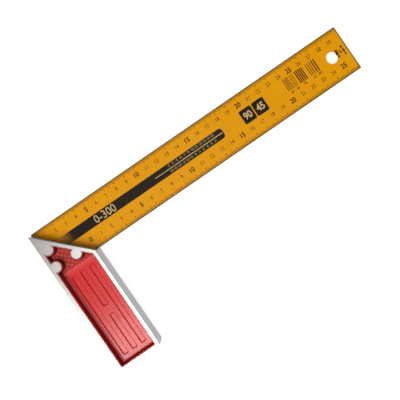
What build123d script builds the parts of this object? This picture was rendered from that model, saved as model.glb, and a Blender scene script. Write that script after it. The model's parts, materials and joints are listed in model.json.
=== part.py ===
from build123d import *
import os
from math import cos, radians, sin, sqrt, tan

# A 300 mm try and mitre square: a printed steel blade riveted into a die-cast stock, whose two broad faces
# are recessed and lined with moulded grips. Nothing on it moves.
#
# Millimetres. X runs along the blade to its tip, Y across the blade to its outer edge, and Z out of the
# front face. The origin is the inner corner of the square: the plane of the stock's working face meets the
# blade's inner edge there, at half the thickness. The rear half mirrors the front half.

# ---------------------------------------------------------------- blade
BLADE_LENGTH = 300.0  # from the stock's outer face to the tip
BLADE_WIDTH = 40.0
BLADE_THICKNESS = 1.2
BLADE_CORNER_R = 0.5
HANG_HOLE_R = 5.0
HANG_HOLE_TO_TIP = 15.0

# ---------------------------------------------------------------- stock
STOCK_WIDTH = 39.0
STOCK_THICKNESS = 16.0
STOCK_REACH = 91.5  # below the blade's inner edge
STOCK_CORNER_R = 0.4
MITRE_SETBACK = 0.2  # the 45 degree face stops this far below the inner corner
BLUNT_CORNER_R = 1.0  # where the 45 degree face turns into the working face
RIM_SIDE = 3.2
RIM_BOTTOM = 2.1
RIM_MITRE = 3.1
RIM_EDGE_BREAK = 0.3
RECESS_CORNER_R = 1.2
SLOT_CLEARANCE = 0.05  # between the blade and each wall of the slot it sits in
LEDGE_WIDTH = 2.0  # the shelf inside the frame on which both grips seat

# ---------------------------------------------------------------- rivets and their bosses
RIVET_R = 2.5
RIVET_FLARE = 0.9  # how far the peened head spreads past the shank
RIVET_HEAD_DEPTH = 1.0
BOSS_WALL = 1.15  # round the rivet's head
LOWER_BOSS_HEIGHT = 6.2  # above the blade's inner edge, both lower bosses
OUTER_BOSS_INSET = 5.2  # from the stock's outer face
MITRE_BOSS_INSET = 5.5  # square to the mitre face
CORNER_BOSS_INSET_OUTER = 7.5
CORNER_BOSS_INSET_MITRE = 7.1

# ---------------------------------------------------------------- moulded grips
GRIP_FIT = 0.1  # gap between a grip and the recess walls
GRIP_LIP = 0.4  # wall thickness at the top edge
GRIP_LIP_DROP = 0.25  # top edge below the rim
GRIP_CORNER_R = 1.0
WALL_DRAFT = 4.0  # degrees, inside walls of the grip
COVE_R = 1.0  # where those walls run out into the floor
COVE_STEPS = 3
FLOOR_OVER_LEDGE = 0.85  # floor thickness where the grip seats on the ledge
PAD_GAP = 0.4  # between the pad under each floor and the blade's inner edge
PLATFORM_RISE = 1.0  # the knurled platform, which passes over the blade's tang
PLATFORM_EDGE = 1.5  # below the blade's inner edge, where the platform starts to fall away
PLATFORM_SLOPE_RUN = 3.6
KNURL_PITCH = 3.3  # from one diamond to the next, square to their sides
KNURL_GROOVE = 0.35
KNURL_DEPTH = 0.6
KNURL_TOP = 0.5
KNURL_MARGIN = 0.5  # from the knurl to the foot of the wall

# Long finger slots are sunk side by side in the floor, the middle one in two lengths. They lie a little
# nearer the outer wall.
SLOT_COUNT = 3
SLOT_LAND = 3.65  # floor left between two slots
SLOT_OUTER_MARGIN = 3.6  # from the foot of the wall on the stock's outer side to the first slot
SLOT_INNER_MARGIN = 4.7  # from the last slot to the foot of the wall on its working side
SLOT_TOP_MARGIN = 2.6  # below the foot of the platform's slope
SLOT_END_MARGIN = 4.6  # above the foot of the end wall
SLOT_BREAK = 7.6
SLOT_DEPTH = 0.8
SLOT_WALL_RUN = 0.8
SLOT_CORNER_R = 0.5

# Ridges on the long walls of each grip snap into grooves in the frame.
SNAP_R = 0.4
SNAP_FIT = 0.08
SNAP_LENGTH = 18.0
SNAP_END_MARGIN = 10.0  # from the end of the recess wall to the nearest ridge

# ---------------------------------------------------------------- worked out from the sizes above
HALF = STOCK_THICKNESS / 2
STOCK_MIDDLE = -STOCK_WIDTH / 2
SLOT_HALF = BLADE_THICKNESS / 2 + SLOT_CLEARANCE
RIVET_HEAD_R = RIVET_R + RIVET_FLARE
BOSS_R = RIVET_HEAD_R + BOSS_WALL
RECESS_LEFT = -STOCK_WIDTH + RIM_SIDE
RECESS_RIGHT = -RIM_SIDE
RECESS_BOTTOM = -STOCK_REACH + RIM_BOTTOM
GRIP_TOP = HALF - GRIP_LIP_DROP
LIP_INSET = GRIP_FIT + GRIP_LIP
FLOOR_HEIGHT = SLOT_HALF + FLOOR_OVER_LEDGE
FLOOR_INSET = LIP_INSET + (GRIP_TOP - FLOOR_HEIGHT) * tan(radians(WALL_DRAFT))
PLATFORM_HEIGHT = FLOOR_HEIGHT + PLATFORM_RISE
PLATFORM_FOOT = -PLATFORM_EDGE - PLATFORM_SLOPE_RUN


def on_mitre(x, inset):
    """The height y of the line that lies inset from the mitre face, at x."""
    return -MITRE_SETBACK - inset * sqrt(2) - x


def boss_places():
    """Centres of the three rivets, by the names of their nodes."""
    corner_x = -STOCK_WIDTH + CORNER_BOSS_INSET_OUTER
    mitre_x = on_mitre(LOWER_BOSS_HEIGHT, MITRE_BOSS_INSET)
    return {
        "rivet_corner": (corner_x, on_mitre(corner_x, CORNER_BOSS_INSET_MITRE)),
        "rivet_mitre": (mitre_x, LOWER_BOSS_HEIGHT),
        "rivet_outer": (-STOCK_WIDTH + OUTER_BOSS_INSET, LOWER_BOSS_HEIGHT),
    }


BOSSES = boss_places()


# ---------------------------------------------------------------- shared outlines
def rounded(points, radii):
    """A polygon with each corner rounded by its own radius, and left sharp where that is 0."""
    face = Polygon(*points, align=None)
    for point, radius in zip(points, radii):
        if radius:
            corner = face.vertices().sort_by_distance(point)[0]
            face = fillet(corner, radius)
    return face


def recess_polygon(inset, radius):
    """The recess outline without its bosses, moved in by inset. Its upper corners lie inside the corner boss."""
    left = RECESS_LEFT + inset
    right = RECESS_RIGHT - inset
    bottom = RECESS_BOTTOM + inset
    boss_x, boss_y = BOSSES["rivet_corner"]
    to_mitre_edge = (on_mitre(boss_x, RIM_MITRE + inset) - boss_y) / 2
    points = [
        (left, bottom),
        (right, bottom),
        (right, on_mitre(right, RIM_MITRE + inset)),
        (boss_x + to_mitre_edge, boss_y + to_mitre_edge),
        (boss_x, boss_y),
        (left, boss_y),
    ]
    return rounded(points, [radius, radius, radius, 0, 0, 0])


def post(place, low, high, foot_r, top_r):
    """A round post between two heights, upright or leaning in towards its top."""
    height = high - low
    shape = Cylinder(foot_r, height) if foot_r == top_r else Cone(foot_r, top_r, height)
    return Pos(place[0], place[1], (low + high) / 2) * shape


def recess(low, high, foot_inset, top_inset, radius):
    """The space of the recess between two heights, moved in from the frame's walls at its foot and its top.

    The three bosses are left standing in it, as much wider as the walls are moved in.
    """
    foot = Pos(0, 0, low) * recess_polygon(foot_inset, radius)
    top = Pos(0, 0, high) * recess_polygon(top_inset, radius)
    space = loft([foot, top], ruled=True)
    for place in BOSSES.values():
        space -= post(place, low, high, BOSS_R + foot_inset, BOSS_R + top_inset)
    return space


# ---------------------------------------------------------------- rivets
def rivet(place):
    """A rivet peened into a countersink at each end and milled flush with the stock's faces."""
    shank = post(place, -HALF, HALF, RIVET_R, RIVET_R)
    head = post(place, HALF - RIVET_HEAD_DEPTH, HALF, RIVET_R, RIVET_HEAD_R)
    return shank + head + mirror(head, about=Plane.XY)


# ---------------------------------------------------------------- blade
def blade():
    """A plain strip with a hanging hole near its tip and a hole for each rivet in its hidden tang."""
    squared_end = -STOCK_WIDTH
    tip = squared_end + BLADE_LENGTH
    points = [(squared_end, 0), (tip, 0), (tip, BLADE_WIDTH), (squared_end, BLADE_WIDTH)]
    strip = rounded(points, [0, BLADE_CORNER_R, BLADE_CORNER_R, 0])
    strip -= Pos(tip - HANG_HOLE_TO_TIP, BLADE_WIDTH / 2) * Circle(HANG_HOLE_R)
    for x, y in BOSSES.values():
        strip -= Pos(x, y) * Circle(RIVET_R)
    return Pos(0, 0, -BLADE_THICKNESS / 2) * extrude(strip, BLADE_THICKNESS)


# ---------------------------------------------------------------- stock frame
def snap_bars(radius, length):
    """Bars along the long walls of the front recess: half of each makes a ridge or cuts a groove."""
    height = (SLOT_HALF + GRIP_TOP) / 2
    from_end = SNAP_END_MARGIN + SNAP_LENGTH / 2
    return [
        Pos(x, y, height) * Rot(90, 0, 0) * Cylinder(radius, length)
        for x in (RECESS_LEFT + GRIP_FIT, RECESS_RIGHT - GRIP_FIT)
        for y in (RECESS_BOTTOM + from_end, -MITRE_SETBACK - from_end)
    ]


def stock_body():
    """The solid stock with its mitred top, the edges of both broad faces broken."""
    points = [
        (-STOCK_WIDTH, -STOCK_REACH),
        (0, -STOCK_REACH),
        (0, -MITRE_SETBACK),
        (-STOCK_WIDTH, on_mitre(-STOCK_WIDTH, 0)),
    ]
    outline = rounded(points, [STOCK_CORNER_R, STOCK_CORNER_R, BLUNT_CORNER_R, STOCK_CORNER_R])
    body = Pos(0, 0, -HALF) * extrude(outline, STOCK_THICKNESS)
    by_height = body.faces().sort_by(Axis.Z)
    return chamfer(by_height[0].edges() + by_height[-1].edges(), RIM_EDGE_BREAK)


def face_cutters():
    """All that is taken out of the front face: the recess, the break along its rim and the snap grooves."""
    rim = HALF - RIM_EDGE_BREAK
    return [
        recess(SLOT_HALF, HALF, 0, 0, RECESS_CORNER_R),
        recess(rim, HALF, 0, -RIM_EDGE_BREAK, RECESS_CORNER_R),
        *snap_bars(SNAP_R + SNAP_FIT, SNAP_LENGTH + 2 * SNAP_FIT),
    ]


def stock_frame():
    """The die casting: a rim round each recess, a ledge between them, and the slot for the blade."""
    frame = stock_body()
    for cutter in face_cutters():
        frame -= cutter
        frame -= mirror(cutter, about=Plane.XY)
    window = extrude(recess_polygon(LEDGE_WIDTH, RECESS_CORNER_R), 2 * SLOT_HALF)
    frame -= Pos(0, 0, -SLOT_HALF) * window
    slot_depth = 2 * BLADE_WIDTH
    slot = Box(2 * STOCK_WIDTH, slot_depth, 2 * SLOT_HALF)
    frame -= Pos(STOCK_MIDDLE, slot_depth / 2 - SLOT_CLEARANCE, 0) * slot
    for place in BOSSES.values():
        frame -= rivet(place)
    return frame


# ---------------------------------------------------------------- grips
def platform():
    """The block over the blade's tang, with the slope that leads down from it to the floor."""
    profile = Polygon(
        (PLATFORM_FOOT, FLOOR_HEIGHT),
        (BLADE_WIDTH, FLOOR_HEIGHT),
        (BLADE_WIDTH, PLATFORM_HEIGHT),
        (-PLATFORM_EDGE, PLATFORM_HEIGHT),
        align=None,
    )
    return Pos(-STOCK_WIDTH, 0, 0) * extrude(Plane.YZ * profile, STOCK_WIDTH)


def diamonds():
    """Blunt pyramids in a lattice turned by 45 degrees, set out from the stock's middle and the edge."""
    side = KNURL_PITCH - KNURL_GROOVE
    foot = Pos(0, 0, PLATFORM_HEIGHT - KNURL_DEPTH) * Rot(0, 0, 45) * Rectangle(side, side)
    top = Pos(0, 0, PLATFORM_HEIGHT) * Rot(0, 0, 45) * Rectangle(KNURL_TOP, KNURL_TOP)
    diamond = loft([foot, top], ruled=True)
    step = KNURL_PITCH / sqrt(2)
    columns = int(STOCK_WIDTH / 2 / step) + 1
    rows = int(BLADE_WIDTH / step) + 1
    return [
        Pos(STOCK_MIDDLE + column * step, row * step - PLATFORM_EDGE, 0) * diamond
        for column in range(-columns, columns + 1)
        for row in range(rows)
        if (row + column) % 2
    ]


def knurled_platform():
    """The platform cut down to the knurl's grooves, with the diamonds on it as far as the walls allow."""
    whole = platform()
    grooves = PLATFORM_HEIGHT - KNURL_DEPTH
    below = Pos(STOCK_MIDDLE, BLADE_WIDTH / 2, 0) * Box(2 * STOCK_WIDTH, 2 * BLADE_WIDTH, 2 * grooves)
    inset = FLOOR_INSET + KNURL_MARGIN
    field = recess(FLOOR_HEIGHT, PLATFORM_HEIGHT, inset, inset, GRIP_CORNER_R)
    return whole & below, whole & field & (Part() + diamonds())


def finger_slot(x, width, top, bottom):
    """A slot with sloping sides and rounded corners, sunk in the floor between two heights y."""
    length = top - bottom
    middle = (top + bottom) / 2
    mouth = fillet(Rectangle(width, length).vertices(), SLOT_CORNER_R + SLOT_WALL_RUN / 2)
    narrower = 2 * SLOT_WALL_RUN
    bed = fillet(Rectangle(width - narrower, length - narrower).vertices(), SLOT_CORNER_R)
    foot = Pos(x, middle, FLOOR_HEIGHT - SLOT_DEPTH) * bed
    return loft([foot, Pos(x, middle, FLOOR_HEIGHT) * mouth], ruled=True)


def finger_slots():
    """All the slots of one floor, spread between its side walls."""
    left = RECESS_LEFT + FLOOR_INSET + SLOT_OUTER_MARGIN
    right = RECESS_RIGHT - FLOOR_INSET - SLOT_INNER_MARGIN
    width = (right - left - (SLOT_COUNT - 1) * SLOT_LAND) / SLOT_COUNT
    top = PLATFORM_FOOT - SLOT_TOP_MARGIN
    bottom = RECESS_BOTTOM + FLOOR_INSET + SLOT_END_MARGIN
    middle = (top + bottom) / 2
    slots = []
    for column in range(SLOT_COUNT):
        x = left + width / 2 + column * (width + SLOT_LAND)
        if column == SLOT_COUNT // 2:
            slots.append(finger_slot(x, width, top, middle + SLOT_BREAK / 2))
            slots.append(finger_slot(x, width, middle - SLOT_BREAK / 2, bottom))
        else:
            slots.append(finger_slot(x, width, top, bottom))
    return slots


def pad():
    """The middle of a grip's underside, which clears the ledge and the blade and reaches the middle plane."""
    outline = extrude(recess_polygon(LEDGE_WIDTH + GRIP_FIT, GRIP_CORNER_R), SLOT_HALF)
    below_blade = Pos(STOCK_MIDDLE, -STOCK_REACH / 2 - PAD_GAP, 0) * Box(STOCK_WIDTH, STOCK_REACH, HALF)
    return outline & below_blade


def tray_inside():
    """What is hollowed out of a grip: drafted walls that run out into the floor through a cove."""
    draft = tan(radians(WALL_DRAFT))
    height, inset = FLOOR_HEIGHT, FLOOR_INSET + COVE_R
    stages = []
    for step in range(1, COVE_STEPS + 1):
        turn = radians(step * 90 / COVE_STEPS)
        next_height = FLOOR_HEIGHT + COVE_R * (1 - cos(turn))
        next_inset = FLOOR_INSET + COVE_R * (1 - sin(turn)) - (next_height - FLOOR_HEIGHT) * draft
        stages.append(recess(height, next_height, inset, next_inset, GRIP_CORNER_R))
        height, inset = next_height, next_inset
    stages.append(recess(height, GRIP_TOP, inset, LIP_INSET, GRIP_CORNER_R))
    return stages


def front_grip():
    """A tray that lines the front recess, passes over the blade's tang and meets the rear grip's pad."""
    base, knurl = knurled_platform()
    tray = recess(SLOT_HALF, GRIP_TOP, GRIP_FIT, GRIP_FIT, RECESS_CORNER_R)
    for stage in tray_inside():
        tray -= stage - base
    tray += knurl
    tray += pad()
    for slot in finger_slots():
        tray -= slot
    for bar in snap_bars(SNAP_R, SNAP_LENGTH):
        tray += bar
    return tray


# ---------------------------------------------------------------- the whole square
def pieces():
    """Every piece by the name of its node."""
    grip = front_grip()
    square = {
        "blade": blade(),
        "stock_frame": stock_frame(),
        "front_grip": grip,
        "rear_grip": mirror(grip, about=Plane.XY),
    }
    for name, place in BOSSES.items():
        square[name] = rivet(place)
    return square


if __name__ == "__main__":
    os.makedirs("parts", exist_ok=True)
    for node, piece in pieces().items():
        export_step(piece, f"parts/{node}.step")
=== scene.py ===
"""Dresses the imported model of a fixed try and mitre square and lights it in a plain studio.

Everything is in metres in the part's own frame: X along the blade to its tip, Y across it to its outer edge,
and Z out of the front face. The scales and marks are thin films of ink on both faces of the blade.
"""

import json
import logging
import math
from collections.abc import Callable
from dataclasses import dataclass
from enum import Enum

import bmesh
import bpy
from mathutils import Matrix, Vector

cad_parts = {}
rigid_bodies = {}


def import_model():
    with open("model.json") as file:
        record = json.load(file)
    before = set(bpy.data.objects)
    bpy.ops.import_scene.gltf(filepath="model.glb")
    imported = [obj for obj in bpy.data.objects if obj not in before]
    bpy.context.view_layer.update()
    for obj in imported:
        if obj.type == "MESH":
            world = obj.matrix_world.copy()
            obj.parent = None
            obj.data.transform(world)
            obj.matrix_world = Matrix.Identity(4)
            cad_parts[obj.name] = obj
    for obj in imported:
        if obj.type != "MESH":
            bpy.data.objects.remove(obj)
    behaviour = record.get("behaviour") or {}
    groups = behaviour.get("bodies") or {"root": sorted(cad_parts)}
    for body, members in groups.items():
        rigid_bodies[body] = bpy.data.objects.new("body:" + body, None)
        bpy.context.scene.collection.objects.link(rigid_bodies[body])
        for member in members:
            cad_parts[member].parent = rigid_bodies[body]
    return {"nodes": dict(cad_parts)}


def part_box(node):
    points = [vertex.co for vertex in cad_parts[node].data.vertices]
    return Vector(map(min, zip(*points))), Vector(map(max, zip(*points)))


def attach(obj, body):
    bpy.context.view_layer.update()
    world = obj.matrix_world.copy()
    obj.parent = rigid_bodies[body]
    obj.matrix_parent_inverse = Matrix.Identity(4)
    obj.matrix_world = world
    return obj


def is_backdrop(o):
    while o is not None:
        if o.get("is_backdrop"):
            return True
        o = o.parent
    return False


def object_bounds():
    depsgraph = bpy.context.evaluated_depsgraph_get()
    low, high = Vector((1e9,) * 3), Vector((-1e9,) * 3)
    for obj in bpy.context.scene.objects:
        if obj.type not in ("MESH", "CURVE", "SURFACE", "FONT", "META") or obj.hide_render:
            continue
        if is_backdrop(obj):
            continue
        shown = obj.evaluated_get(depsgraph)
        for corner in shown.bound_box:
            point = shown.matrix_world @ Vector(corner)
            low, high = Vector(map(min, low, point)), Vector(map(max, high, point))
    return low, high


log = logging.getLogger("square")

MM = 0.001
BODY = "root"
SAME_POINT = 1e-6  # points no further apart than this are one
UPRIGHT = 1e-7  # how far apart the ends of an upright edge may lie, as seen from above


# ---------------------------------------------------------------- small helpers for materials
def linear(code: str) -> tuple[float, float, float, float]:
    """Turns an sRGB hex colour into the linear colour that the shaders use.

    Args:
        code: Six hex digits after a hash.

    Returns:
        Linear red, green, blue and an alpha of 1.
    """
    shares = [int(code[i:i + 2], 16) / 255 for i in (1, 3, 5)]
    red, green, blue = (s / 12.92 if s <= 0.04045 else ((s + 0.055) / 1.055) ** 2.4 for s in shares)
    return red, green, blue, 1.0


def put(tree: bpy.types.NodeTree, kind: str, links: dict[str | int, object] | None = None,
        **settings: object) -> bpy.types.Node:
    """Adds a node with its settings, values and links.

    Args:
        tree: The node tree that the node goes in.
        kind: Blender's name for the type of node, without its ShaderNode.
        links: What each input gets, by the input's name or number: a socket to link, or a plain value. A Mix
            node takes its share at 0, two numbers at 2 and 3, and two colours at 6 and 7.
        **settings: The node's own properties.

    Returns:
        The new node.
    """
    node = tree.nodes.new("ShaderNode" + kind)
    for name, value in settings.items():
        setattr(node, name, value)
    for name, value in (links or {}).items():
        if isinstance(value, bpy.types.NodeSocket):
            tree.links.new(value, node.inputs[name])
        else:
            node.inputs[name].default_value = value
    return node


def new_material(name: str) -> tuple[bpy.types.Material, bpy.types.NodeTree, bpy.types.NodeSocket]:
    """Makes an empty material.

    Args:
        name: The finish, in a maker's words.

    Returns:
        The material, its tree, and the input of its output node that a surface is linked to.
    """
    material = bpy.data.materials.new(name)
    material.use_nodes = True
    tree = material.node_tree
    tree.nodes.clear()
    output = put(tree, "OutputMaterial")
    return material, tree, output.inputs["Surface"]


# ---------------------------------------------------------------- finishes
@dataclass(frozen=True)
class StovedLacquer:
    """Yellow stoving enamel on sheet steel: a satin film with a faint orange peel, ground off at the edges.

    Along the joint with the mitred stock it turns brown: painted shadow, which stands in for the stock's
    shadow on the blade.
    """

    colour: str = "#E09900"
    tired: str = "#D68F00"
    # painted shadow: this brown, its reach from the mitre and its share paint the stock's shadow on the blade
    soiled: str = "#A25C00"
    steel: str = "#6A5520"
    soil_reach: float = 15 * MM
    soil_share: float = 0.44
    across_mitre: tuple[float, float, float] = (math.sqrt(0.5), math.sqrt(0.5), 0)
    bare_to: float = 0.54 * MM  # this and the next are distances from the edge of the sheet
    full_from: float = 1.35 * MM
    peel: float = 1.6 * MM
    peel_depth: float = 0.05 * MM
    peel_strength: float = 0.12
    peel_detail: float = 1.0
    cloud: float = 26 * MM
    cloud_detail: float = 3.0
    roughness: float = 0.45
    specular: float = 0.07

    def material(self, low: Vector, high: Vector) -> bpy.types.Material:
        """Builds the finish for a sheet that lies between two corners of its frame.

        Args:
            low: The sheet's lowest corner.
            high: The sheet's highest corner.

        Returns:
            The material.
        """
        material, tree, surface = new_material("stoved_yellow_lacquer")
        place = put(tree, "TexCoord").outputs["Object"]
        centre = (low + high) / 2
        half = (high - low) / 2
        from_middle = put(tree, "VectorMath", {0: place, 1: centre}, operation="SUBTRACT").outputs[0]
        folded = put(tree, "VectorMath", {0: from_middle}, operation="ABSOLUTE").outputs[0]
        to_edge = put(tree, "VectorMath", {0: half, 1: folded}, operation="SUBTRACT").outputs[0]
        parts = put(tree, "SeparateXYZ", {0: to_edge}).outputs
        nearest = put(tree, "Math", {0: parts[0], 1: parts[1]}, operation="MINIMUM").outputs[0]
        bare = put(tree, "MapRange", {
            "Value": nearest,
            "From Min": self.bare_to,
            "From Max": self.full_from,
            "To Min": 1.0,
            "To Max": 0.0,
        }).outputs[0]
        clouds = put(tree, "TexNoise", {
            "Vector": place,
            "Scale": 1 / self.cloud,
            "Detail": self.cloud_detail,
        }).outputs[0]
        film = put(tree, "Mix", {0: clouds, 6: linear(self.colour), 7: linear(self.tired)}, data_type="RGBA")
        # painted shadow: the film is mixed towards brown near the mitre joint, for the shade of the stock
        from_mitre = put(tree, "VectorMath", {0: place, 1: self.across_mitre}, operation="DOT_PRODUCT")
        painted_shadow = put(tree, "MapRange", {
            "Value": from_mitre.outputs["Value"],
            "From Max": self.soil_reach,
            "To Min": self.soil_share,
            "To Max": 0.0,
        }, interpolation_type="SMOOTHSTEP").outputs[0]
        shadowed_film = put(tree, "Mix", {0: painted_shadow, 6: film.outputs[2], 7: linear(self.soiled)}, data_type="RGBA")
        colour = put(tree, "Mix", {0: bare, 6: shadowed_film.outputs[2], 7: linear(self.steel)}, data_type="RGBA")
        peel = put(tree, "TexNoise", {
            "Vector": place,
            "Scale": 1 / self.peel,
            "Detail": self.peel_detail,
        }).outputs[0]
        relief = put(tree, "Bump", {
            "Height": peel,
            "Strength": self.peel_strength,
            "Distance": self.peel_depth,
        }).outputs[0]
        shader = put(tree, "BsdfPrincipled", {
            "Base Color": colour.outputs[2],
            "Roughness": self.roughness,
            "Specular IOR Level": self.specular,
            "Normal": relief,
        })
        tree.links.new(shader.outputs[0], surface)
        return material


@dataclass(frozen=True)
class Aluminium:
    """Die-cast aluminium: broad faces milled to a soft sheen, and sides as cast, which are greyer and duller.

    The cutter left fine straight marks on the milled faces, and the die a fine grit on the cast ones.
    The sides' greyer tone is partly that finish and partly painted shade.
    """

    name: str
    milled: str = "#DDDAD6"
    # greyer on the sides, partly the cast finish and partly painted shade
    cast: str = "#BCBEBD"
    side_to: float = 0.55  # this and the next are how much of a face's normal lies along Z
    broad_from: float = 0.95
    roughness: float = 0.36
    cast_rougher: float = 0.2
    tool_mark: float = 0.9 * MM  # drawn about five times as coarse as real feed marks, so that they show
    mark_stretch: float = 25.0
    grit: float = 0.7 * MM  # drawn about three times as coarse as on a real casting, so that it shows
    detail: float = 2.0
    relief_depth: float = 0.05 * MM
    relief_strength: float = 0.15

    def material(self) -> bpy.types.Material:
        """Builds the finish.

        Returns:
            The material.
        """
        material, tree, surface = new_material(self.name)
        coordinates = put(tree, "TexCoord")
        place = coordinates.outputs["Object"]
        up = put(tree, "SeparateXYZ", {0: coordinates.outputs["Normal"]}).outputs[2]
        broad = put(tree, "Math", {0: up}, operation="ABSOLUTE").outputs[0]
        milled = put(tree, "MapRange", {
            "Value": broad,
            "From Min": self.side_to,
            "From Max": self.broad_from,
        }).outputs[0]
        stretch = (1, 1 / self.mark_stretch, 1)
        marks = put(tree, "TexNoise", {
            "Vector": put(tree, "Mapping", {"Vector": place, "Scale": stretch}).outputs[0],
            "Scale": 1 / self.tool_mark,
            "Detail": self.detail,
        }).outputs[0]
        grit = put(tree, "TexNoise", {
            "Vector": place,
            "Scale": 1 / self.grit,
            "Detail": self.detail,
        }).outputs[0]
        # partly painted shade: faces that lean to the side are mixed towards the greyer colour
        colour = put(tree, "Mix", {0: milled, 6: linear(self.cast), 7: linear(self.milled)}, data_type="RGBA")
        height = put(tree, "Mix", {0: milled, 2: grit, 3: marks}, data_type="FLOAT").outputs[0]
        relief = put(tree, "Bump", {
            "Height": height,
            "Strength": self.relief_strength,
            "Distance": self.relief_depth,
        }).outputs[0]
        roughness = put(tree, "MapRange", {
            "Value": milled,
            "To Min": self.roughness + self.cast_rougher,
            "To Max": self.roughness,
        }).outputs[0]
        shader = put(tree, "BsdfPrincipled", {
            "Base Color": colour.outputs[2],
            "Metallic": 1.0,
            "Roughness": roughness,
            "Normal": relief,
        })
        tree.links.new(shader.outputs[0], surface)
        return material


@dataclass(frozen=True)
class MouldedAbs:
    """Injection-moulded ABS, red all through: glossy off a polished tool, with a dull spark-eroded knurl.

    The steep side walls, which have a draft to leave the tool, are a shade darker as painted shade, and
    darkest round the knurl as painted shadow in its narrow pockets. The knurl is pinker, partly from spark
    erosion and partly as painted sheen, and its grooves are darker as painted shade. Where a face bends down
    to the walls it is dull too.
    """

    colour: str = "#D01A16"
    flow: str = "#C31512"
    # painted shade: the darker red of the steep walls
    drawn: str = "#A81A16"
    # painted shadow: the darkest red, on the walls round the knurl and the bosses, where narrow pockets lie
    # in shade
    pocket: str = "#6E120F"
    # the knurl's colour: pinker partly from its finish of spark erosion and partly as painted sheen
    eroded: str = "#D24036"
    # painted shade: the darker red in the floors of the knurl's grooves
    groove: str = "#8E1814"
    wall_to: float = 0.3  # this and the next three are how much of a face's normal lies along Z
    floor_from: float = 0.68
    dull_to: float = 0.955
    glossy_from: float = 0.998
    groove_floor: float = 1.9 * MM  # this and the next are heights off the middle plane
    groove_top: float = 2.3 * MM
    knurl_from: float = -1.5 * MM  # this and the next are places along Y
    eroded_from: float = -3.4 * MM
    sink: float = 9 * MM
    sink_depth: float = 0.2 * MM
    sink_strength: float = 0.3
    sink_detail: float = 2.0
    roughness: float = 0.22
    eroded_roughness: float = 0.5
    ior: float = 1.5

    def material(self) -> bpy.types.Material:
        """Builds the finish. The knurl's grooves are told apart by their height and their place along Y.

        Returns:
            The material.
        """
        material, tree, surface = new_material("moulded_red_abs")
        coordinates = put(tree, "TexCoord")
        place = coordinates.outputs["Object"]
        parts = put(tree, "SeparateXYZ", {0: place})
        up = put(tree, "SeparateXYZ", {0: coordinates.outputs["Normal"]}).outputs[2]
        flat = put(tree, "Math", {0: up}, operation="ABSOLUTE").outputs[0]
        # painted shade: steep faces take the darker wall colours
        painted_wall_shade_mask = put(tree, "MapRange", {
            "Value": flat,
            "From Min": self.wall_to,
            "From Max": self.floor_from,
            "To Min": 1.0,
            "To Max": 0.0,
        }).outputs[0]
        bent = put(tree, "MapRange", {
            "Value": flat,
            "From Min": self.dull_to,
            "From Max": self.glossy_from,
            "To Min": 1.0,
            "To Max": 0.0,
        }).outputs[0]
        height = put(tree, "Math", {0: parts.outputs[2]}, operation="ABSOLUTE").outputs[0]
        low = put(tree, "MapRange", {
            "Value": height,
            "From Min": self.groove_floor,
            "From Max": self.groove_top,
            "To Min": 1.0,
            "To Max": 0.0,
        }).outputs[0]
        along = parts.outputs[1]
        knurled = put(tree, "Math", {0: along, 1: self.knurl_from}, operation="GREATER_THAN").outputs[0]
        eroded = put(tree, "Math", {0: along, 1: self.eroded_from}, operation="GREATER_THAN").outputs[0]
        # painted shade: low places in the knurled zone are its grooves, and they are painted darker
        groove = put(tree, "Math", {0: low, 1: knurled}, operation="MULTIPLY").outputs[0]
        flow = put(tree, "TexNoise", {
            "Vector": place,
            "Scale": 1 / self.sink,
            "Detail": self.sink_detail,
        }).outputs[0]
        smooth = put(tree, "Mix", {0: flow, 6: linear(self.colour), 7: linear(self.flow)}, data_type="RGBA")
        # partly painted sheen: the knurl is mixed towards a pinker red
        dull = put(tree, "Mix", {0: eroded, 6: smooth.outputs[2], 7: linear(self.eroded)}, data_type="RGBA")
        with_painted_groove_shade = put(tree, "Mix", {0: groove, 6: dull.outputs[2], 7: linear(self.groove)}, data_type="RGBA")
        # painted shade: the walls' colour, darkest in the knurled zone
        side = put(tree, "Mix", {0: knurled, 6: linear(self.drawn), 7: linear(self.pocket)}, data_type="RGBA")
        colour = put(tree, "Mix", {0: painted_wall_shade_mask, 6: with_painted_groove_shade.outputs[2], 7: side.outputs[2]}, data_type="RGBA")
        relief = put(tree, "Bump", {
            "Height": flow,
            "Strength": self.sink_strength,
            "Distance": self.sink_depth,
        }).outputs[0]
        rough = put(tree, "Math", {0: eroded, 1: bent}, operation="MAXIMUM").outputs[0]
        roughness = put(tree, "MapRange", {
            "Value": rough,
            "To Min": self.roughness,
            "To Max": self.eroded_roughness,
        }).outputs[0]
        shader = put(tree, "BsdfPrincipled", {
            "Base Color": colour.outputs[2],
            "Roughness": roughness,
            "IOR": self.ior,
            "Normal": relief,
        })
        tree.links.new(shader.outputs[0], surface)
        return material


@dataclass(frozen=True)
class InkFilm:
    """A matt film of screen-printing ink, with the fine grain that the mesh of the screen leaves in it."""

    mesh: float = 0.8 * MM  # drawn about five times as coarse as a real mesh, so that it shows
    mesh_depth: float = 0.02 * MM
    mesh_strength: float = 0.1
    mesh_detail: float = 2.0
    roughness: float = 0.5
    specular: float = 0.15

    def shader(self, tree: bpy.types.NodeTree, place: bpy.types.NodeSocket,
               colour: tuple[float, float, float, float] | bpy.types.NodeSocket) -> bpy.types.NodeSocket:
        """Adds the film's shader.

        Args:
            tree: The ink's node tree.
            place: The socket that gives the place on the piece.
            colour: The ink's linear colour, or the socket that gives it.

        Returns:
            The shader's own socket.
        """
        grain = put(tree, "TexNoise", {
            "Vector": place,
            "Scale": 1 / self.mesh,
            "Detail": self.mesh_detail,
        }).outputs[0]
        relief = put(tree, "Bump", {
            "Height": grain,
            "Strength": self.mesh_strength,
            "Distance": self.mesh_depth,
        }).outputs[0]
        return put(tree, "BsdfPrincipled", {
            "Base Color": colour,
            "Roughness": self.roughness,
            "Specular IOR Level": self.specular,
            "Normal": relief,
        }).outputs[0]


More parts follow.
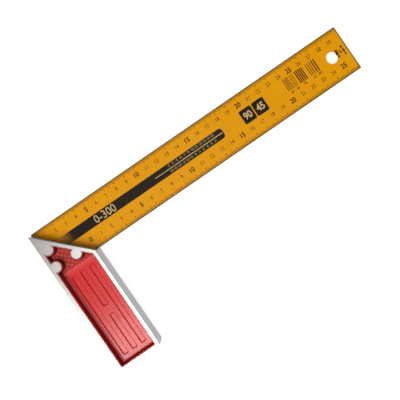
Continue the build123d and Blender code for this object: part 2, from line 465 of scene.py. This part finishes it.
@dataclass(frozen=True)
class ThinnedInk:
    """Black screen ink that was pulled ever thinner towards the stock, until the lacquer shows through it."""

    ink: str = "#1C1308"
    lacquer: str = "#D08A0A"
    none_at: float = -27 * MM  # this and the next are places along X
    full_at: float = -9 * MM

    def material(self) -> bpy.types.Material:
        """Builds the finish.

        Returns:
            The material.
        """
        material, tree, surface = new_material("thinned_black_ink")
        place = put(tree, "TexCoord").outputs["Object"]
        cover = put(tree, "MapRange", {
            "Value": put(tree, "SeparateXYZ", {0: place}).outputs[0],
            "From Min": self.none_at,
            "From Max": self.full_at,
        }, interpolation_type="SMOOTHSTEP").outputs[0]
        colour = put(tree, "Mix", {0: cover, 6: linear(self.lacquer), 7: linear(self.ink)}, data_type="RGBA")
        tree.links.new(InkFilm().shader(tree, place, colour.outputs[2]), surface)
        return material


class Ink(Enum):
    """The inks that the blade is screen-printed with: name of the finish and colour.

    Broad areas are black. Fine lines and figures have a thinner film, which looks brown on the yellow.
    """

    BLACK = ("screen_printed_black_ink", "#1C1308")
    BROWN = ("screen_printed_brown_black_ink", "#42190A")
    CREAM = ("screen_printed_cream_ink", "#C9A96C")

    def material(self) -> bpy.types.Material:
        """Gives the ink as a material, which is made when it is first asked for.

        Returns:
            The material.
        """
        name, colour = self.value
        found = bpy.data.materials.get(name)
        if found:
            return found
        material, tree, surface = new_material(name)
        place = put(tree, "TexCoord").outputs["Object"]
        tree.links.new(InkFilm().shader(tree, place, linear(colour)), surface)
        return material


# ---------------------------------------------------------------- small helpers for modelling
def deselect() -> None:
    """Leaves nothing selected."""
    for thing in bpy.context.view_layer.objects:
        thing.select_set(False)


def settle(piece: bpy.types.Object, place: Matrix) -> None:
    """Puts a mesh where a matrix says, with its place in its mesh and its object at the origin.

    Args:
        piece: The mesh.
        place: Where it goes.
    """
    piece.data.transform(piece.matrix_basis)
    piece.matrix_basis = Matrix.Identity(4)
    piece.data.transform(place)


def join(pieces: list[bpy.types.Object], name: str) -> bpy.types.Object:
    """Joins meshes into one.

    Args:
        pieces: The meshes.
        name: The name of the mesh that they become.

    Returns:
        The joined mesh.
    """
    deselect()
    for piece in pieces:
        piece.select_set(True)
    bpy.context.view_layer.objects.active = pieces[0]
    if len(pieces) > 1:
        bpy.ops.object.join()
    whole = bpy.context.view_layer.objects.active
    whole.name = name
    whole.data.name = name
    return whole


def clean(piece: bpy.types.Object) -> None:
    """Merges a mesh's doubled points and turns its faces outwards.

    Args:
        piece: The mesh.
    """
    deselect()
    piece.select_set(True)
    bpy.context.view_layer.objects.active = piece
    bpy.ops.object.mode_set(mode="EDIT")
    bpy.ops.mesh.select_all(action="SELECT")
    bpy.ops.mesh.remove_doubles(threshold=SAME_POINT)
    bpy.ops.mesh.normals_make_consistent(inside=False)
    bpy.ops.object.mode_set(mode="OBJECT")


def slab(length: float, width: float, height: float) -> bpy.types.Object:
    """Adds a flat block on the plane z = 0, centred on the origin.

    Args:
        length: Its size along X.
        width: Its size along Y.
        height: Its size along Z.

    Returns:
        The block.
    """
    deselect()
    bpy.ops.mesh.primitive_cube_add(size=1.0)
    block = bpy.context.object
    size = Matrix.Diagonal((length, width, height, 1))
    settle(block, Matrix.Translation((0, 0, height / 2)) @ size)
    return block


def open_with(piece: bpy.types.Object, kind: str, wanted: Callable[..., bool]) -> None:
    """Opens a mesh in edit mode with only some of its edges or faces selected.

    Args:
        piece: The mesh.
        kind: Either edges or faces.
        wanted: Says whether an edge or face is to be selected.
    """
    deselect()
    piece.select_set(True)
    bpy.context.view_layer.objects.active = piece
    bpy.ops.object.mode_set(mode="EDIT")
    bpy.ops.mesh.select_mode(type=kind[:-1].upper())
    bpy.ops.mesh.select_all(action="DESELECT")
    mesh = bmesh.from_edit_mesh(piece.data)
    for part in getattr(mesh, kind):
        if wanted(part):
            part.select_set(True)
    bmesh.update_edit_mesh(piece.data)


def round_corners(block: bpy.types.Object, radius: float, segments: int,
                  right_end_only: bool = False) -> None:
    """Rounds the upright corners of a flat block with the bevel operator.

    Args:
        block: The block.
        radius: The corner's radius, or its set-back where segments is 1.
        segments: How many flats make the corner.
        right_end_only: Leaves the corners at the low end of X sharp.
    """
    xs = [v.co.x for v in block.data.vertices]
    middle = (min(xs) + max(xs)) / 2

    def upright(edge: bmesh.types.BMEdge) -> bool:
        """Says whether an edge is one of the corners to round."""
        a, b = (v.co for v in edge.verts)
        return (a - b).xy.length < UPRIGHT and (a.x > middle or not right_end_only)

    open_with(block, "edges", upright)
    bpy.ops.mesh.bevel(offset=radius, offset_type="OFFSET", segments=segments, affect="EDGES")
    bpy.ops.object.mode_set(mode="OBJECT")


def finish_piece(piece: bpy.types.Object, material: bpy.types.Material) -> None:
    """Gives a new piece its material and lets it ride on the square.

    Args:
        piece: The mesh.
        material: Its finish.
    """
    piece.data.materials.clear()
    piece.data.materials.append(material)
    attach(piece, BODY)
    log.info("%s: %d faces", piece.name, len(piece.data.polygons))


# ---------------------------------------------------------------- the blade and its print
class Face(Enum):
    """The two broad faces of the blade. The value is the way the face looks along Z."""

    FRONT = 1
    REAR = -1

    def place(self, surface: float, x: float, y: float, turn: float = 0.0, lift: float = 0.0) -> Matrix:
        """Gives the place of a mark that was made at the origin on the plane z = 0 and reads along +X there.

        Args:
            surface: The height of the face above the middle plane.
            x: Where the mark's origin goes along the blade.
            y: Where it goes across the blade.
            turn: How far the mark is turned, in degrees, as seen by someone who looks at the face.
            lift: How far the mark stands off the face, on top of other ink.

        Returns:
            The matrix.
        """
        flip = Matrix.Identity(4) if self is Face.FRONT else Matrix.Rotation(math.pi, 4, "Y")
        at = Matrix.Translation((x, y, self.value * (surface + lift)))
        return at @ flip @ Matrix.Rotation(math.radians(turn), 4, "Z")

    def mirror_place(self, surface: float, x: float, y: float, lift: float = 0.0) -> Matrix:
        """Gives the place of a mark without figures, which keeps its two ends where they are along X.

        Args:
            surface: The height of the face above the middle plane.
            x: Where the mark's origin goes along the blade.
            y: Where it goes across the blade.
            lift: How far the mark stands off the face, on top of other ink.

        Returns:
            The matrix.
        """
        flip = Matrix.Rotation(0 if self is Face.FRONT else math.pi, 4, "X")
        return Matrix.Translation((x, y, self.value * (surface + lift))) @ flip


@dataclass(frozen=True)
class Figures:
    """A size of printed figures: height, width against the plain typeface, and how much bolder they are."""

    height: float
    narrow: float
    bolder: float


@dataclass
class Print:
    """Everything printed on one face of the blade."""

    face: Face
    surface: float
    outer_edge: float
    outer_zero: float
    tip: float
    film: float = 0.03 * MM
    type_size: float = 1.4  # over the height of its figures
    curve_steps: int = 3
    tick_width: float = 0.33 * MM
    tick_corner: float = 0.0825 * MM
    tick_inset: float = 0.15 * MM
    tick_lengths: tuple[float, float, float] = (2.7 * MM, 3.5 * MM, 4.5 * MM)
    major: Figures = Figures(4.4 * MM, 0.86, 0.16 * MM)
    minor: Figures = Figures(3.3 * MM, 0.86, 0.0)
    outer_row: float = 31.7 * MM
    outer_range: tuple[int, int] = (2, 29)
    outer_shift: float = -0.8 * MM
    inner_row: float = 9.3 * MM
    inner_range: tuple[int, int] = (0, 25)
    bold_at: int = 5
    centimetre: float = 10 * MM

    def figures(self, text: str, style: Figures, x: float, y: float, turn: float = 0.0,
                lift: float = 0.0) -> bpy.types.Object:
        """Models one number as a film of ink.

        Args:
            text: The number.
            style: Its size and weight.
            x: Its middle along the blade.
            y: Its middle across the blade.
            turn: How far it is turned, in degrees.
            lift: How far it stands off the face.

        Returns:
            The mesh, in its place.
        """
        deselect()
        bpy.ops.object.text_add()
        number = bpy.context.object
        number.data.body = text
        number.data.size = style.height * self.type_size
        number.data.resolution_u = self.curve_steps
        number.data.offset = style.bolder
        number.data.extrude = self.film / 2
        bpy.ops.object.convert(target="MESH")
        number = bpy.context.object
        corners = [v.co for v in number.data.vertices]
        low = Vector(min(c[i] for c in corners) for i in range(3))
        high = Vector(max(c[i] for c in corners) for i in range(3))
        to_origin = Matrix.Translation((-(low.x + high.x) / 2, -(low.y + high.y) / 2, -low.z))
        scale = style.height / (high.y - low.y)
        to_size = Matrix.Diagonal((scale * style.narrow, scale, 1, 1))
        settle(number, self.face.place(self.surface, x, y, turn, lift) @ to_size @ to_origin)
        return number

    def ticks(self, name: str, zero: float, edge: float, inwards: int) -> bpy.types.Object:
        """Models the millimetre marks along one edge.

        Args:
            name: The piece's name.
            zero: Where the scale's zero lies along the blade.
            edge: Where the blade's edge lies across the blade.
            inwards: 1 where the marks run up from the edge, and -1 where they run down.

        Returns:
            The marks as one mesh.
        """
        along = self.face.value
        group = []
        for millimetre in range(10):
            short, middle, long = self.tick_lengths
            length = long if millimetre == 0 else middle if millimetre == 5 else short
            tick = slab(self.tick_width, length, self.film)
            round_corners(tick, self.tick_corner, 1)
            settle(tick, Matrix.Translation((along * millimetre * MM, inwards * length / 2, 0)))
            group.append(tick)
        row = join(group, name)
        repeat = row.modifiers.new("centimetres", "ARRAY")
        repeat.use_relative_offset = False
        repeat.use_constant_offset = True
        repeat.constant_offset_displace = (along * self.centimetre, 0, 0)
        repeat.count = round((self.tip - zero) / self.centimetre) + 1
        bpy.ops.object.modifier_apply(modifier=repeat.name)
        settle(row, self.face.place(self.surface, zero, edge + inwards * self.tick_inset))
        self.trim(row)
        return row

    def trim(self, row: bpy.types.Object) -> None:
        """Takes off the marks that lie on the blade's two ends or past them.

        Args:
            row: The marks of one scale.
        """
        start = self.outer_zero + self.tick_inset
        end = self.tip - self.tick_inset
        open_with(row, "faces", lambda face: not start < face.calc_center_median().x < end)
        bpy.ops.mesh.delete(type="FACE")
        bpy.ops.object.mode_set(mode="OBJECT")

    def scale(self, name: str, zero: float, row_y: float, first: int, last: int) -> bpy.types.Object:
        """Models the numbers of one scale, some of them bold.

        Args:
            name: The piece's name.
            zero: Where the number 0 would stand along the blade.
            row_y: The middle of the row across the blade.
            first: The first number.
            last: The last number.

        Returns:
            The numbers as one mesh.
        """
        numbers = []
        for value in range(first, last + 1):
            style = self.minor if value % self.bold_at else self.major
            numbers.append(self.figures(str(value), style, zero + value * self.centimetre, row_y))
        row = join(numbers, name)
        clean(row)
        return row

    def build(self) -> None:
        """Prints both scales."""
        side = self.face.name.lower()
        brown = Ink.BROWN.material()
        outer = self.ticks(f"outer_ticks_{side}", self.outer_zero, self.outer_edge, -1)
        inner = self.ticks(f"inner_ticks_{side}", 0.0, 0.0, 1)
        outer_start = self.outer_zero + self.outer_shift
        outer_numbers = self.scale(f"outer_numbers_{side}", outer_start, self.outer_row, *self.outer_range)
        inner_numbers = self.scale(f"inner_numbers_{side}", 0.0, self.inner_row, *self.inner_range)
        for piece in (outer, inner, outer_numbers, inner_numbers):
            finish_piece(piece, brown)


@dataclass
class Stripe:
    """The black stripe along the middle of the blade, with a cream line and cream figures on it."""

    ground: Print
    low: float = 16.0 * MM
    high: float = 24.8 * MM
    start: float = -29.0 * MM
    end: float = 138.2 * MM
    corner: float = 2.2 * MM
    corner_flats: int = 3
    line_start: float = 71.0 * MM
    line_end: float = 137.3 * MM
    line_width: float = 0.75 * MM
    line_taper: float = 0.7
    big_text: str = "0-300"
    big_figures: Figures = Figures(6.8 * MM, 0.92, 0.02 * MM)
    big_middle: float = 21.2 * MM
    small_figures: Figures = Figures(1.8 * MM, 0.82, -0.03 * MM)
    small_start: float = 86.2 * MM
    small_pitch: float = 3.9 * MM
    small_rows: tuple[float, float] = (23.0 * MM, 18.1 * MM)
    small_count: int = 12
    angle_step: int = 15

    def build(self, ink: bpy.types.Material) -> None:
        """Prints the stripe and what stands on it.

        Args:
            ink: The stripe's own finish.
        """
        ground = self.ground
        side = ground.face.name.lower()
        middle = (self.low + self.high) / 2
        band = slab(self.end - self.start, self.high - self.low, ground.film)
        round_corners(band, self.corner, self.corner_flats, right_end_only=True)
        settle(band, ground.face.mirror_place(ground.surface, (self.start + self.end) / 2, middle))
        band.name = f"stripe_{side}"
        finish_piece(band, ink)
        self.line(side, middle)
        self.numbers(side, middle)

    def line(self, side: str, middle: float) -> None:
        """Prints the cream line, which is a little thinner at its left end.

        Args:
            side: The name of the face.
            middle: Where the line lies across the blade.
        """
        ground = self.ground
        line = slab(self.line_end - self.line_start, self.line_width, ground.film / 2)
        for vertex in line.data.vertices:
            if vertex.co.x < 0:
                vertex.co.y *= self.line_taper
        centre = (self.line_end + self.line_start) / 2
        settle(line, ground.face.mirror_place(ground.surface, centre, middle, lift=ground.film))
        line.name = f"stripe_line_{side}"
        finish_piece(line, Ink.CREAM.material())

    def numbers(self, side: str, middle: float) -> None:
        """Prints the blade's range in millimetres, and two rows of small angles.

        Args:
            side: The name of the face.
            middle: Where the range lies across the blade.
        """
        ground = self.ground
        parts = [ground.figures(self.big_text, self.big_figures, self.big_middle, middle, lift=ground.film)]
        upper, lower = self.small_rows
        for place in range(self.small_count):
            x = self.small_start + place * self.small_pitch
            for row, steps in ((upper, place + 1), (lower, self.small_count - place)):
                angle = str(self.angle_step * steps)
                parts.append(ground.figures(angle, self.small_figures, x, row, lift=ground.film))
        piece = join(parts, f"stripe_numbers_{side}")
        clean(piece)
        finish_piece(piece, Ink.CREAM.material())


class GaugeLines(Enum):
    """The groups of the line gauge: left end along the blade, width of a line, pitch, and how many lines."""

    MEDIUM = (201.3 * MM, 0.60 * MM, 1.45 * MM, 4)
    FINE = (207.6 * MM, 0.40 * MM, 1.40 * MM, 3)
    BOLD = (213.0 * MM, 0.95 * MM, 1.62 * MM, 5)
    WIDE = (223.7 * MM, 0.65 * MM, 1.85 * MM, 3)
    HEAVY = (229.3 * MM, 1.00 * MM, 2.00 * MM, 2)


class NoteLines(Enum):
    """The three lines of the note at the tip: text, figures, and place along the blade.

    They read across the blade, and give its range in millimetres, its width and the square's angles.
    """

    RANGE = ("0-300", Figures(2.1 * MM, 1.2, 0.2 * MM), 251.3 * MM)
    WIDTH = ("40.0", Figures(1.4 * MM, 1.1, 0.14 * MM), 254.1 * MM)
    ANGLES = ("0-45-90", Figures(1.9 * MM, 1.25, 0.2 * MM), 257.0 * MM)


@dataclass
class Marks:
    """The black marks past the stripe: two angle tiles, a line gauge, and a note beside the hanging hole."""

    ground: Print
    tile_left: float = 157.2 * MM
    tile_width: float = 11.2 * MM
    tile_gap: float = 1.0 * MM
    tile_low: float = 14.4 * MM
    tile_high: float = 26.6 * MM
    tile_corner: float = 1.2 * MM
    tile_corner_flats: int = 3
    tile_texts: tuple[str, str] = ("90", "45")
    tile_figures: Figures = Figures(6.4 * MM, 0.85, 0.2 * MM)
    gauge_low: float = 17.2 * MM
    gauge_high: float = 28.2 * MM
    gauge_corner: float = 0.05 * MM
    gauge_unit: float = 0.01 * MM
    gauge_figures: Figures = Figures(2.2 * MM, 0.9, 0.05 * MM)
    gauge_figures_y: float = 15.2 * MM
    note_y: float = 20.3 * MM
    note_turn: float = 90.0

    def build(self) -> None:
        """Prints the marks."""
        side = self.ground.face.name.lower()
        black = Ink.BLACK.material()
        finish_piece(self.tiles(side), black)
        finish_piece(self.tile_numbers(side), Ink.CREAM.material())
        finish_piece(self.gauge(side), Ink.BROWN.material())
        finish_piece(self.note(side), black)

    def tile_centre(self, place: int) -> tuple[float, float]:
        """Gives the middle of a tile along and across the blade, by its place in the row."""
        x = self.tile_left + self.tile_width / 2 + place * (self.tile_width + self.tile_gap)
        return x, (self.tile_low + self.tile_high) / 2

    def tiles(self, side: str) -> bpy.types.Object:
        """Models the two black tiles.

        Args:
            side: The name of the face.

        Returns:
            The tiles as one mesh.
        """
        ground = self.ground
        tiles = []
        for place in range(len(self.tile_texts)):
            tile = slab(self.tile_width, self.tile_high - self.tile_low, ground.film)
            round_corners(tile, self.tile_corner, self.tile_corner_flats)
            settle(tile, ground.face.place(ground.surface, *self.tile_centre(place)))
            tiles.append(tile)
        return join(tiles, f"angle_tiles_{side}")

    def tile_numbers(self, side: str) -> bpy.types.Object:
        """Models the two angles of the square, which stand on the tiles.

        Args:
            side: The name of the face.

        Returns:
            The numbers as one mesh.
        """
        ground = self.ground
        numbers = []
        for place, angle in enumerate(self.tile_texts):
            x, y = self.tile_centre(place)
            numbers.append(ground.figures(angle, self.tile_figures, x, y, lift=ground.film))
        piece = join(numbers, f"angle_numbers_{side}")
        clean(piece)
        return piece

    def gauge(self, side: str) -> bpy.types.Object:
        """Models the line gauge: groups of equal lines over their width in hundredths of a millimetre.

        Args:
            side: The name of the face.

        Returns:
            The gauge as one mesh.
        """
        ground = self.ground
        height = self.gauge_high - self.gauge_low
        parts = []
        for group in GaugeLines:
            left, width, pitch, count = group.value
            for place in range(count):
                bar = slab(width, height, ground.film)
                round_corners(bar, self.gauge_corner, 1)
                x = left + width / 2 + place * pitch
                settle(bar, ground.face.place(ground.surface, x, (self.gauge_low + self.gauge_high) / 2))
                parts.append(bar)
            middle = left + ((count - 1) * pitch + width) / 2
            label = str(round(width / self.gauge_unit))
            parts.append(ground.figures(label, self.gauge_figures, middle, self.gauge_figures_y))
        piece = join(parts, f"line_gauge_{side}")
        clean(piece)
        return piece

    def note(self, side: str) -> bpy.types.Object:
        """Models the small upright numbers between the hanging hole and the tip.

        Args:
            side: The name of the face.

        Returns:
            The numbers as one mesh.
        """
        parts = []
        for line in NoteLines:
            text, figures, x = line.value
            parts.append(self.ground.figures(text, figures, x, self.note_y, self.note_turn))
        piece = join(parts, f"end_note_{side}")
        clean(piece)
        return piece


@dataclass
class Blade:
    """The steel blade: its lacquer and the print on both faces."""

    node: str = "blade"

    def build(self, nodes: dict[str, bpy.types.Object]) -> None:
        """Lacquers the blade and prints it.

        Args:
            nodes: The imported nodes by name.
        """
        low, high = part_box(self.node)
        dress(nodes[self.node], StovedLacquer().material(low, high))
        thinned = ThinnedInk().material()
        for face in Face:
            ground = Print(face, high.z, high.y, low.x, high.x)
            ground.build()
            Stripe(ground).build(thinned)
            Marks(ground).build()


# ---------------------------------------------------------------- the stock
def dress(node: bpy.types.Object, material: bpy.types.Material) -> None:
    """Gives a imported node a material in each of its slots.

    Args:
        node: The node.
        material: Its finish.
    """
    for slot in node.material_slots:
        slot.material = material
    log.info("%s: %s", node.name, material.name)


@dataclass
class Stock:
    """The cast stock, its two moulded grips and its rivets."""

    frame: str = "stock_frame"
    grips: tuple[str, str] = ("front_grip", "rear_grip")
    rivets: tuple[str, str, str] = ("rivet_corner", "rivet_mitre", "rivet_outer")

    def build(self, nodes: dict[str, bpy.types.Object]) -> None:
        """Dresses the stock's nodes.

        Args:
            nodes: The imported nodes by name.
        """
        dress(nodes[self.frame], Aluminium("die_cast_aluminium").material())
        red = MouldedAbs().material()
        for grip in self.grips:
            dress(nodes[grip], red)
        rivet = Aluminium("peened_aluminium", milled="#E2DFDB").material()
        for name in self.rivets:
            dress(nodes[name], rivet)


# ---------------------------------------------------------------- the studio
@dataclass(frozen=True)
class FarLight:
    """A wide light far away, the same along the whole blade and in no reflection.

    Its share is what it adds to the brightness of a level white surface.
    """

    name: str
    comes_from: tuple[float, float, float]
    share: float
    spread: float


@dataclass(frozen=True)
class Octabox:
    """A round softbox: its place, its width, and how bright it looks, where white is 1.

    One that is for gloss only shows in reflections and doesn't light what is matt.
    """

    name: str
    place: tuple[float, float, float]
    width: float
    radiance: float
    gloss_only: bool = False


@dataclass
class Studio:
    """A white floor, a dim sky, a wide key light and a weaker fill, two round softboxes, and the camera."""

    rests_at: float
    floor_gap: float = 0.05 * MM
    floor_size: float = 6.0
    floor_colour: str = "#767676"
    floor_glow: float = 0.92
    sky_level: float = 0.14
    sky_lean: tuple[float, float, float] = (-0.5, -0.7, 0.0)
    sky_in_gloss: float = 0.12
    far_lights: tuple[FarLight, ...] = (
        FarLight("key", (-0.44, -0.24, 1.0), 0.63, 46.0),
        FarLight("fill", (0.1, 0.4, 1.0), 0.13, 60.0),
    )
    boxes: tuple[Octabox, ...] = (
        Octabox("top_softbox", (0.07, -0.05, 1.20), 0.60, 5.5, gloss_only=True),
        Octabox("stock_softbox", (-0.43, -0.40, 1.20), 0.38, 8.4),
    )
    camera_place: tuple[float, float, float] = (0.0913, -0.0146, 0.3306)
    camera_turn: float = -34.5
    picture: int = 400
    focal_pixels: float = 404.7
    sensor: float = 36.0
    nearest: float = 0.01

    def build(self) -> None:
        """Sets up the studio."""
        self.floor()
        self.sky()
        for light in self.far_lights:
            self.far_light(light)
        for box in self.boxes:
            self.softbox(box)
        self.camera()
        bpy.context.scene.view_settings.view_transform = "Standard"

    def floor(self) -> None:
        """Lays the floor: white to the eye and in reflections, with the square's shadow still on it."""
        deselect()
        height = self.rests_at - self.floor_gap
        bpy.ops.mesh.primitive_plane_add(size=self.floor_size, location=(0, 0, height))
        floor = bpy.context.object
        floor.name = "floor"
        material, tree, surface = new_material("matt_white_backdrop")
        ray = put(tree, "LightPath").outputs
        seen = put(tree, "Math", {0: ray["Is Camera Ray"], 1: ray["Is Glossy Ray"]}, operation="MAXIMUM")
        seen = put(tree, "Math", {0: seen.outputs[0], 1: ray["Is Transmission Ray"]}, operation="MAXIMUM")
        glow = put(tree, "Math", {0: seen.outputs[0], 1: self.floor_glow}, operation="MULTIPLY")
        matt = put(tree, "BsdfDiffuse", {"Color": linear(self.floor_colour)})
        light = put(tree, "Emission", {"Strength": glow.outputs[0]})
        both = put(tree, "AddShader", {0: matt.outputs[0], 1: light.outputs[0]})
        tree.links.new(both.outputs[0], surface)
        floor.data.materials.append(material)
        floor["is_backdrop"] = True

    def sky(self) -> None:
        """Lights the square dimly from all round, more from the stock's side, and shows white behind it.

        A reflection sees it at an even level of its own, so that the bare metal isn't black.
        """
        world = bpy.data.worlds.new("studio")
        bpy.context.scene.world = world
        world.use_nodes = True
        tree = world.node_tree
        tree.nodes.clear()
        place = put(tree, "TexCoord").outputs["Generated"]
        lean = put(tree, "VectorMath", {0: place, 1: self.sky_lean}, operation="DOT_PRODUCT").outputs["Value"]
        share = put(tree, "Math", {0: lean, 1: 1.0}, operation="ADD").outputs[0]
        strength = put(tree, "Math", {0: share, 1: self.sky_level}, operation="MULTIPLY").outputs[0]
        ray = put(tree, "LightPath").outputs
        reflected = put(tree, "Mix", {0: ray["Is Glossy Ray"], 2: strength, 3: self.sky_in_gloss}).outputs[0]
        shown = put(tree, "Mix", {0: ray["Is Camera Ray"], 2: reflected, 3: 1.0}).outputs[0]
        background = put(tree, "Background", {"Color": linear("#FFFFFF"), "Strength": shown})
        output = put(tree, "OutputWorld")
        tree.links.new(background.outputs[0], output.inputs["Surface"])

    def lamp(self, kind: str, name: str, place: tuple[float, float, float]) -> bpy.types.Object:
        """Adds a lamp that shines on the inner corner of the square.

        Args:
            kind: Blender's name for the type of light.
            name: The lamp's name.
            place: Where it hangs, or where its light comes from.

        Returns:
            The lamp.
        """
        deselect()
        turn = Vector(place).to_track_quat("Z", "Y").to_euler()
        bpy.ops.object.light_add(type=kind, location=place, rotation=turn)
        lamp = bpy.context.object
        lamp.name = name
        return lamp

    def far_light(self, light: FarLight) -> None:
        """Adds a far light, whose strength follows from its share and its slant.

        Args:
            light: The light.
        """
        lamp = self.lamp("SUN", light.name, light.comes_from)
        lamp.data.energy = light.share * math.pi / Vector(light.comes_from).normalized().z
        lamp.data.angle = math.radians(light.spread)
        lamp.visible_glossy = False

    def softbox(self, box: Octabox) -> None:
        """Hangs a softbox, whose power follows from its size and its brightness.

        Args:
            box: The softbox.
        """
        lamp = self.lamp("AREA", box.name, box.place)
        lamp.data.shape = "DISK"
        lamp.data.size = box.width
        area = math.pi * (box.width / 2) ** 2
        lamp.data.energy = box.radiance * math.pi * area
        lamp.visible_diffuse = not box.gloss_only

    def camera(self) -> None:
        """Puts the camera straight above the square."""
        deselect()
        turn = (0, 0, math.radians(self.camera_turn))
        bpy.ops.object.camera_add(location=self.camera_place, rotation=turn)
        camera = bpy.context.object
        camera.name = "camera"
        camera.data.sensor_width = self.sensor
        camera.data.lens = self.focal_pixels / self.picture * self.sensor
        camera.data.clip_start = self.nearest
        bpy.context.scene.camera = camera


def main() -> None:
    """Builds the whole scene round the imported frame."""
    logging.basicConfig(level=logging.INFO, format="%(message)s")
    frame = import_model()
    cad_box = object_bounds()
    Blade().build(frame["nodes"])
    Stock().build(frame["nodes"])
    Studio(rests_at=cad_box[0].z).build()


if __name__ == "__main__":
    main()
